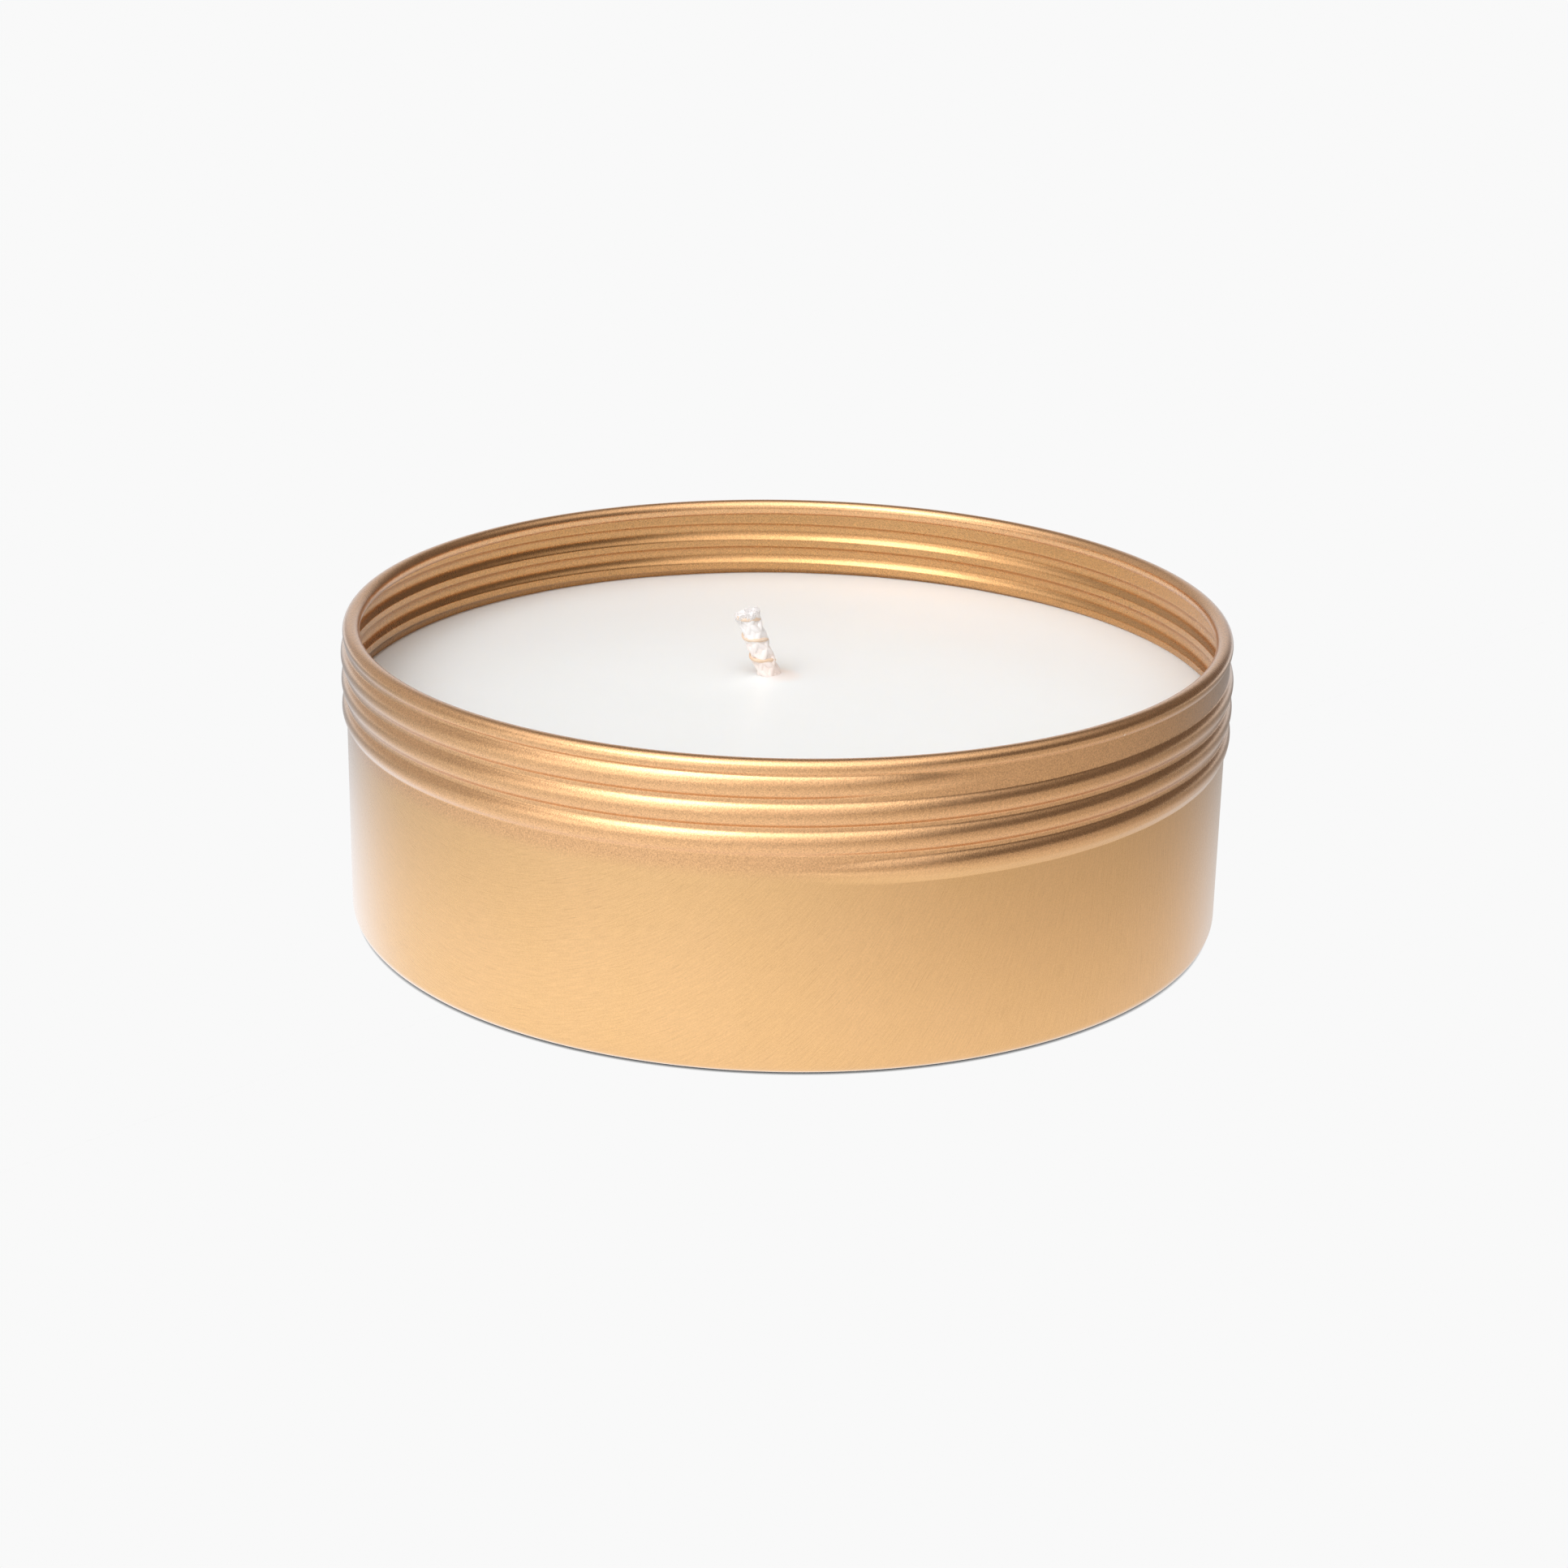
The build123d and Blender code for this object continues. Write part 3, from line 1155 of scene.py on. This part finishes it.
@dataclass(frozen=True)
class WickLine:
    """The wick's middle line: upright in the wax, a bend, and the leaning free end. Lengths are in metres."""

    foot: tuple[float, float, float]
    wax_z: float
    lean_deg: float = 20.0
    bend_r: float = 6.0 * MM
    free_l: float = 8.4 * MM

    @property
    def upright_l(self) -> float:
        """Length of the upright stretch."""
        return self.wax_z - self.bend_r * sin(radians(self.lean_deg)) - self.foot[2]

    @property
    def length(self) -> float:
        """Length of the whole wick."""
        return self.upright_l + self.bend_r * radians(self.lean_deg) + self.free_l

    def place(self, shape: ShapeTree, along: Scalar, out: Scalar, angle: Scalar) -> bpy.types.NodeSocket:
        """A point beside the middle line.

        Args:
            shape: the tree that the nodes go in; it gets the line's sizes as inputs.
            along: distance from the foot.
            out: distance from the middle line.
            angle: angle round it, from +X.

        Returns:
            The point.
        """
        graph = shape.graph
        upright = shape.size("Upright Length", self.upright_l)
        bend_r = shape.size("Bend Radius", self.bend_r)
        lean = shape.size("Lean", radians(self.lean_deg))
        foot = [shape.size(f"Foot {axis}", value) for axis, value in zip("XYZ", self.foot)]
        turned = graph.math("MINIMUM", graph.math("MAXIMUM", along - upright, 0.0) / bend_r, lean)
        free = graph.math("MAXIMUM", along - upright - bend_r * lean, 0.0)
        side = angle.function("COSINE") * out
        sine = turned.function("SINE")
        cosine = turned.function("COSINE")
        x = foot[0] - bend_r * (1.0 - cosine) - free * sine + side * cosine
        z = foot[2] + graph.math("MINIMUM", along, upright) + bend_r * sine + free * cosine + side * sine
        return graph.join(x, foot[1] + angle.function("SINE") * out, z)


@dataclass(frozen=True)
class Strands:
    """Round strands that run along the wick's line, as fields on one row of points."""

    line: WickLine
    total: Scalar | int  # how many points there are in all
    strand: Scalar  # which strand each point is on
    order: Scalar  # and its place along that strand
    radius: Scalar | float
    sides: int

    def mesh(self, shape: ShapeTree, along: Scalar, out: Scalar, angle: Scalar) -> bpy.types.NodeSocket:
        """Makes the strands, with closed ends and a fibre map.

        Args:
            shape: the tree that the nodes go in.
            along: each point's distance from the wick's foot.
            out: its distance from the middle line.
            angle: its angle round it.

        Returns:
            The strands as one mesh.
        """
        graph = shape.graph
        place = self.line.place(shape, along, out, angle)
        row = graph.out("GeometryNodeMeshLine", {"Count": self.total})
        placed = graph.out("GeometryNodeSetPosition", {"Geometry": row, "Position": place})
        cloud = graph.out("GeometryNodeMeshToPoints", {"Mesh": placed})
        curves = graph.out("GeometryNodePointsToCurves", {0: cloud, 1: self.strand, 2: self.order})
        thick = graph.out("GeometryNodeSetCurveRadius", {"Curve": curves, "Radius": self.radius})
        spline = graph.node("GeometryNodeSplineParameter").outputs
        kept = graph.store(thick, ALONG_ATTRIBUTE, spline["Length"])
        ring = graph.out("GeometryNodeCurvePrimitiveCircle", {"Resolution": self.sides, "Radius": 1.0})
        ring = graph.store(ring, AROUND_ATTRIBUTE, spline["Factor"])
        thickness = graph.out("GeometryNodeInputRadius")
        sweep = {"Curve": kept, "Profile Curve": ring, "Scale": thickness, "Fill Caps": True}
        mesh = graph.out("GeometryNodeCurveToMesh", sweep)
        uv = graph.join(graph.named(ALONG_ATTRIBUTE), graph.named(AROUND_ATTRIBUTE) * (1.0 * MM), 0.0)
        return graph.store(mesh, FIBRE_UV, uv, "FLOAT2", "CORNER")


@dataclass(frozen=True)
class WickBraid:
    """The cotton cord: strands that weave over and under each other, and a frayed cut tip."""

    line: WickLine
    radius: float
    finish: FibreFinish
    strands: int = 8
    points: int = 240
    lay: float = 9.0 * MM
    weave: float = 0.06 * MM
    strand_r: float = 0.44 * MM
    uneven_cut: float = 0.5 * MM  # by how much the strands' ends differ
    core_spans: int = 60
    core_short: float = 0.3 * MM  # how far the core ends below the cut
    tip_fibres: int = 320
    tip_points: int = 5
    tip_fibre_r: float = 0.07 * MM

    def build(self, effects: Effects) -> bpy.types.Object:
        """Makes and dresses the cord.

        Args:
            effects: the shared shader groups.

        Returns:
            The piece.
        """
        shape = ShapeTree("braided_cord")
        graph = shape.graph
        strands = shape.count("Strands", self.strands)
        points = shape.count("Points", self.points)
        length = shape.size("Length", self.line.length)
        lay = shape.size("Lay", self.lay)
        weave = shape.size("Weave", self.weave)
        strand_r = shape.size("Strand Radius", self.strand_r)
        cord_r = shape.size("Cord Radius", self.radius)
        index = graph.index()
        strand = (index / points).function("FLOOR")
        order = index - strand * points
        way = 1.0 - graph.math("MODULO", strand, 2.0) * 2.0
        pair = (strand / 2.0).function("FLOOR")
        share = order / (points - 1.0)
        tip_cut = graph.node("FunctionNodeRandomValue", {"ID": strand, "Seed": 5}, data_type="FLOAT")
        tip_length = length - Scalar(graph, tip_cut.outputs[1]) * self.uneven_cut
        along = share * tip_length
        turn = along * TURN / lay
        angle = pair * TURN / (strands / 2.0) + way * turn
        over = (turn * 4.0 + pair * pi).function("SINE") * way
        out = cord_r - strand_r - weave + weave * over
        core = self.core(shape, cord_r - strand_r * 0.6)
        cords = Strands(self.line, strands * points, strand, order, strand_r, 8)
        braid = cords.mesh(shape, along, out, angle)
        joined = graph.node("GeometryNodeJoinGeometry")
        for part in (self.tip(shape, cord_r, length), core, braid):
            graph.feed(joined.inputs[0], part)
        shape.close(joined.outputs[0], self.finish.material(effects))
        piece = shape.bake("wick_cord", profile_mesh("wick_start", [(0.0, 0.0, 0.0)]))
        return stand_for(piece, Node.BRAID)

    def core(self, shape: ShapeTree, radius: Scalar) -> bpy.types.NodeSocket:
        """The straight yarn inside the braid, which fills it.

        Args:
            shape: the cord's tree.
            radius: the core's radius.

        Returns:
            Its mesh.
        """
        index = shape.graph.index()
        none = index * 0.0
        along = index / float(self.core_spans) * (self.line.length - self.core_short)
        return Strands(self.line, self.core_spans + 1, none, index, radius, 12).mesh(shape, along, none, none)

    def tip(self, shape: ShapeTree, cord_r: Scalar, length: Scalar) -> bpy.types.NodeSocket:
        """Loose fibres at the cut end.

        Args:
            shape: the cord's tree.
            cord_r: the cord's radius.
            length: the wick's length.

        Returns:
            Their mesh.
        """
        graph = shape.graph
        points = float(self.tip_points)
        fibres = shape.count("Tip Fibres", self.tip_fibres)
        index = graph.index()
        fibre = (index / points).function("FLOOR")
        order = index - fibre * points
        share = order / (points - 1.0)
        draws = []
        for seed in (11, 12, 13, 14):
            draw = graph.node("FunctionNodeRandomValue", {"ID": fibre, "Seed": seed}, data_type="FLOAT")
            draws.append(Scalar(graph, draw.outputs[1]))
        out = cord_r * draws[0].function("SQRT") * (0.9 + share * 0.30 * (draws[3] + 0.1))
        angle = draws[1] * TURN + share * (draws[3] - 0.5) * 1.2
        along = length - (1.0 - share) * (1.1 * MM) - draws[2] * (0.55 * MM) * share
        strands = Strands(self.line, fibres * points, fibre, order, self.tip_fibre_r, 4)
        return strands.mesh(shape, along, out, angle)


@dataclass(frozen=True)
class WickFilament:
    """The paper filament wound round the wick's free end."""

    line: WickLine
    cord_r: float
    finish: FibreFinish
    diameter: float = 0.45 * MM
    proud: float = 0.1 * MM
    sunk: float = 0.16 * MM  # how much deeper it lies on the right than on the left
    pitch: float = 2.6 * MM
    start: float = 1.15 * MM
    end: float = 0.3 * MM
    points: int = 140

    def build(self, effects: Effects) -> bpy.types.Object:
        """Makes and dresses the filament.

        Args:
            effects: the shared shader groups.

        Returns:
            The piece.
        """
        shape = ShapeTree("wound_filament")
        graph = shape.graph
        points = shape.count("Points", self.points)
        radius = shape.size("Radius", self.diameter / 2)
        out = shape.size("Winding Radius", self.cord_r + self.proud - self.diameter / 2)
        pitch = shape.size("Winding Pitch", self.pitch)
        free = self.line.length - self.line.free_l
        from_l = shape.size("From", free + self.start)
        to_l = shape.size("To", self.line.length - self.end)
        index = graph.index()
        along = from_l + (to_l - from_l) * (index / (points - 1.0))
        angle = pi / 2 - (along - from_l) * TURN / pitch
        deeper = shape.size("Sunk", self.sunk) * (angle.function("COSINE") + 1.0) / 2.0
        strand = Strands(self.line, points, index * 0.0, index, radius, 12)
        shape.close(strand.mesh(shape, along, out - deeper, angle), self.finish.material(effects))
        piece = shape.bake("wick_paper", profile_mesh("filament_start", [(0.0, 0.0, 0.0)]))
        return stand_for(piece, Node.FILAMENT)


# ---------------------------------------------------------------- the studio


@dataclass(frozen=True)
class Lobe:
    """A soft round patch of the surround that is brighter or darker than the rest."""

    azimuth_deg: float  # 0 is behind the camera, 90 to its right
    elevation_deg: float
    inner_deg: float
    outer_deg: float
    color: tuple[float, float, float]
    strength: float

    def direction(self) -> Vector:
        """Where it lies."""
        azimuth = radians(self.azimuth_deg)
        elevation = radians(self.elevation_deg)
        return Vector((sin(azimuth) * cos(elevation), -cos(azimuth) * cos(elevation), sin(elevation)))


@dataclass(frozen=True)
class Studio:
    """The camera, the pale floor and the soft surround."""

    lens: float = 73.38
    sensor: float = 36.0
    camera_at: tuple[float, float, float] = (-1.16 * MM, -344.12 * MM, 139.44 * MM)
    pitch: float = 0.35082
    yaw: float = 0.00300
    roll: float = -0.01916
    floor_half: float = 5.0
    floor_glow: float = 0.947
    # what the tin mirrors of the floor is painted light and shade, not lit by the lamps
    floor_far: float = 0.34  # what the tin mirrors of the floor beside it
    floor_front: float = 0.60  # how much brighter the floor is in front: painted light
    floor_near: float = 0.34  # and close to the tin: painted light bounced off the tin
    floor_back: float = 0.55  # and far behind, where the backdrop starts
    floor_fall: float = 0.32  # how much of that the right side loses: painted shade of the tin
    # painted warm light on the right of the floor
    floor_warm: Color = (1.0, 0.91, 0.82, 1.0)
    # painted contact shade: how far the floor darkens beside the tin
    contact: float = 0.35 * MM
    surround: tuple[float, float, float] = (0.16, 0.13, 0.115)
    lobes: tuple[Lobe, ...] = (
        Lobe(-45, 5, 5, 38, WHITE, 1.4),  # tall soft light, front left
        Lobe(-38, 48, 4, 22, (1.0, 1.0, 1.06), 2.7),
        Lobe(-60, 62, 5, 38, WHITE, 1.1),
        Lobe(0, 64, 5, 38, WHITE, 0.8),  # soft light over the camera
        Lobe(0, 28, 5, 44, WHITE, 0.95),
        Lobe(-110, 20, 5, 62, WHITE, 0.38),  # white wall on the left
        Lobe(180, 10, 5, 34, WHITE, 0.55),  # backdrop
        Lobe(60, 74, 5, 46, (1.0, 0.98, 0.96), 0.75),  # ceiling on the right
    )

    def camera(self) -> None:
        """Sets up the camera."""
        data = bpy.data.cameras.new("camera")
        data.lens = self.lens
        data.sensor_width = self.sensor
        data.clip_start = 10 * MM
        data.clip_end = 20.0
        forward = Vector((sin(self.yaw) * cos(self.pitch), cos(self.yaw) * cos(self.pitch), -sin(self.pitch)))
        right = Vector((cos(self.yaw), -sin(self.yaw), 0.0))
        up = right.cross(forward)
        turned_right = cos(self.roll) * right - sin(self.roll) * up
        turned_up = sin(self.roll) * right + cos(self.roll) * up
        camera = bpy.data.objects.new("camera", data)
        turn = Matrix((turned_right, turned_up, -forward)).transposed().to_4x4()
        camera.matrix_world = Matrix.Translation(self.camera_at) @ turn
        bpy.context.scene.collection.objects.link(camera)
        bpy.context.scene.camera = camera

    def floor(self, level: float) -> None:
        """Lays the floor: evenly bright to the camera but for a painted contact shade at the tin, and with
        painted light and shade that only the tin mirrors.

        Args:
            level: its height.
        """
        half = self.floor_half
        mesh = bpy.data.meshes.new("floor")
        mesh.from_pydata(
            [(-half, -half, level), (half, -half, level), (half, half, level), (-half, half, level)],
            [],
            [(0, 1, 2, 3)],
        )
        material = bpy.data.materials.new("pale_floor")
        material.use_nodes = True
        material.node_tree.nodes.clear()
        material.cycles.emission_sampling = "NONE"
        graph = Graph(material.node_tree)
        # painted contact shade beside the tin on the floor that the camera sees
        open_sky = graph.node("ShaderNodeAmbientOcclusion", {"Distance": self.contact}, samples=8)
        shade = Scalar(graph, open_sky.outputs["AO"]) * self.floor_glow
        glow = graph.out("ShaderNodeEmission", {"Color": (*WHITE, 1.0), "Strength": shade})
        x, y, _ = graph.split(object_place(graph))
        away = graph.math("SQRT", x * x + y * y)
        # painted light and shade that only the tin sees: brighter in front and near the tin, darker and
        # warmer on the right
        level_seen = graph.ramp(-y, -120 * MM, 120 * MM) * self.floor_front + self.floor_far
        level_seen = level_seen + (1.0 - graph.ramp(away, 50 * MM, 120 * MM)) * self.floor_near
        level_seen = level_seen + graph.ramp(y, 70 * MM, 260 * MM) * self.floor_back
        right = graph.ramp(x, -50 * MM, 100 * MM) * (1.0 - graph.ramp(y, 60 * MM, 200 * MM))
        warm = graph.mix(right, (*WHITE, 1.0), self.floor_warm)
        level_seen = level_seen * (1.0 - right * self.floor_fall)
        mirrored = graph.out("ShaderNodeEmission", {"Color": warm, "Strength": level_seen})
        seen = graph.node("ShaderNodeLightPath").outputs["Is Camera Ray"]
        both = graph.out("ShaderNodeMixShader", {0: seen, 1: mirrored, 2: glow})
        graph.node("ShaderNodeOutputMaterial", {"Surface": both})
        mesh.materials.append(material)
        floor = bpy.data.objects.new("floor", mesh)
        bpy.context.scene.collection.objects.link(floor)
        floor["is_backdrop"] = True

    def light(self) -> None:
        """Lights the scene with the soft surround."""
        world = bpy.data.worlds.new("surround")
        world.use_nodes = True
        world.node_tree.nodes.clear()
        graph = Graph(world.node_tree)
        toward = graph.node("ShaderNodeTexCoord").outputs["Generated"]
        level = list(self.surround)
        for lobe in self.lobes:
            across = Scalar(graph, graph.vector_math("DOT_PRODUCT", toward, lobe.direction()))
            patch = graph.ramp(across, cos(radians(lobe.outer_deg)), cos(radians(lobe.inner_deg)))
            level = [patch * (tint * lobe.strength) + part for part, tint in zip(level, lobe.color)]
        color = graph.join(*level)
        background = graph.out("ShaderNodeBackground", {"Color": color, "Strength": 1.0})
        graph.node("ShaderNodeOutputWorld", {"Surface": background})
        bpy.context.scene.world = world
        bpy.context.scene.view_settings.view_transform = "Standard"


# ---------------------------------------------------------------- putting it together


def stand_for(piece: bpy.types.Object, node: Node) -> bpy.types.Object:
    """Ties a piece to the frame.

    Args:
        piece: the finished piece.
        node: the solid that it stands for.

    Returns:
        The piece.
    """
    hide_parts(node.value)
    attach(piece, ROOT_BODY)
    return piece


def dress(node: Node, material: bpy.types.Material) -> bpy.types.Object:
    """Gives a solid of the frame its material.

    Args:
        node: which solid.
        material: its finish.

    Returns:
        Its object.
    """
    piece = frame["nodes"][node.value]
    piece.data.materials.clear()
    piece.data.materials.append(material)
    return piece


def report(piece: bpy.types.Object) -> None:
    """Logs a piece's name and size."""
    mesh = piece.data
    mesh.calc_loop_triangles()
    size = [round(side / MM, 2) for side in piece.dimensions]
    log.info("%s: %d triangles, %s mm", piece.name, len(mesh.loop_triangles), size)


def main() -> None:
    """Builds every piece in order, then the studio."""
    logging.basicConfig(level=logging.INFO, format="%(message)s")
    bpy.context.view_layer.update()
    low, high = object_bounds()
    wax_low, wax_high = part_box(Node.WAX.value)
    pad_low, pad_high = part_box(Node.PAD.value)
    braid_low, braid_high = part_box(Node.BRAID.value)
    mounts = {mount["name"]: mount for mount in frame["record"]["mounts"]}
    wall_r = mounts["plain_wall"]["dims"]["r_mm"] * MM
    wick_r = (braid_high.y - braid_low.y) / 2
    foot = (pad_low + pad_high) / 2

    studio = Studio()
    studio.camera()
    effects = Effects.build()
    tin = TinBody(wall_r, (wax_high.x - wax_low.x) / 2, high.z)
    report(tin.build(effects))
    line = WickLine((foot.x, foot.y, pad_high.z), wax_high.z)
    free_x = foot.x - line.bend_r * (1 - cos(radians(line.lean_deg)))
    # the wick's painted shadow on the wax lies to its right
    wax_finish = WaxFinish(wick_shadow_at=(free_x + WICK_SHADOW_ASIDE, foot.y, wax_high.z))
    report(WaxFill(tin, wax_high.z, free_x, foot.y, wick_r, wax_finish).build(effects))
    dry_z = wax_high.z + DRY_RISE
    cotton = FibreFinish(
        name="waxed_cotton",
        color=(0.99, 0.98, 0.98, 1.0),
        deep=(0.95, 0.92, 0.90, 1.0),
        waxed=(0.99, 0.89, 0.84, 1.0),
        dry_above=dry_z,
    )
    paper = FibreFinish(
        name="waxed_paper",
        color=(0.90, 0.74, 0.59, 1.0),
        deep=(0.92, 0.84, 0.78, 1.0),
        waxed=(0.88, 0.68, 0.50, 1.0),
        dry_above=dry_z,
        sheen=0.1,
    )
    report(WickBraid(line, wick_r, cotton).build(effects))
    report(WickFilament(line, wick_r, paper).build(effects))
    steel = TabFinish(
        name="tinned_steel",
        color=(0.72, 0.71, 0.69, 1.0),
        shade=(0.5, 0.49, 0.47, 1.0),
        metallic=1.0,
        roughness=0.3,
        grain_size=0.15 * MM,
        grain_depth=0.004 * MM,
    )
    foam = TabFinish(
        name="white_foam",
        color=(0.88, 0.88, 0.86, 1.0),
        shade=(0.72, 0.72, 0.7, 1.0),
        metallic=0.0,
        roughness=0.75,
        grain_size=0.25 * MM,
        grain_depth=0.06 * MM,
    )
    report(dress(Node.SUSTAINER, steel.material(effects)))
    report(dress(Node.PAD, foam.material(effects)))
    studio.floor(low.z - FLOOR_GAP)
    studio.light()


if __name__ == "__main__":
    main()
